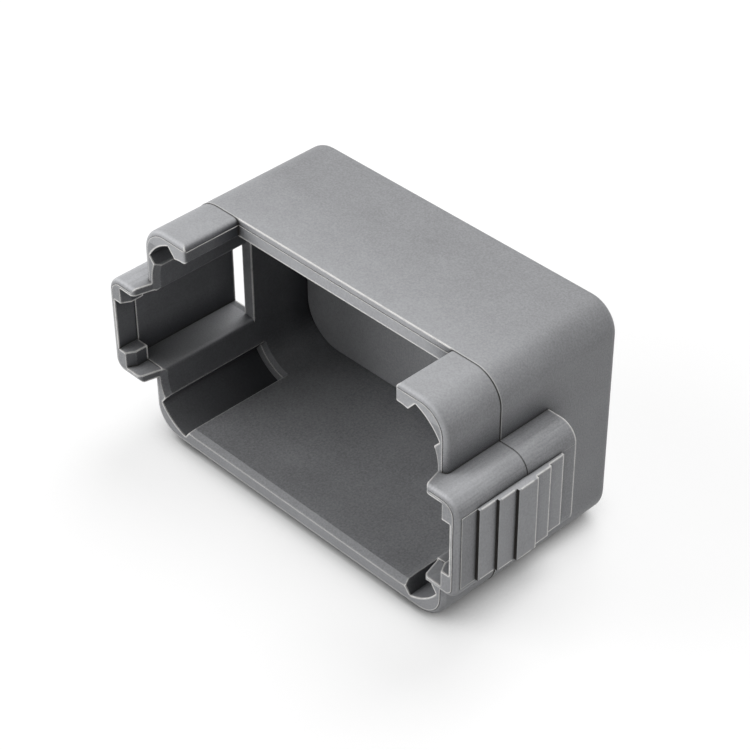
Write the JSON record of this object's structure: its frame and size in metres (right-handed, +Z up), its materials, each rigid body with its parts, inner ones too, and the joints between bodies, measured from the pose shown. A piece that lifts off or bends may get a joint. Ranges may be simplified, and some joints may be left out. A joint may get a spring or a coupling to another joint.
{
  "type": "connector dust cap",
  "caption": "Moulded rectangular cap with a closed back and a notched roof, cored corners and a stepped grip wing on each side, to cover a cable connector.",
  "frame": {"origin": "middle of the part's footprint, on the surface the feet stand on", "axes": "+Z up out of the roof, -Y out of the open mouth and +Y out of the closed back, +X towards the right wing when looking into the mouth; the part is the same on both sides of X = 0"},
  "size_m": [0.0518, 0.0256, 0.0269],
  "materials": {
    "dust_cap": "fine spark-eroded matte grain, self-coloured grey"
  },
  "bodies": {
    "root": {"dust_cap": "dust_cap"}
  },
  "joints": []
}
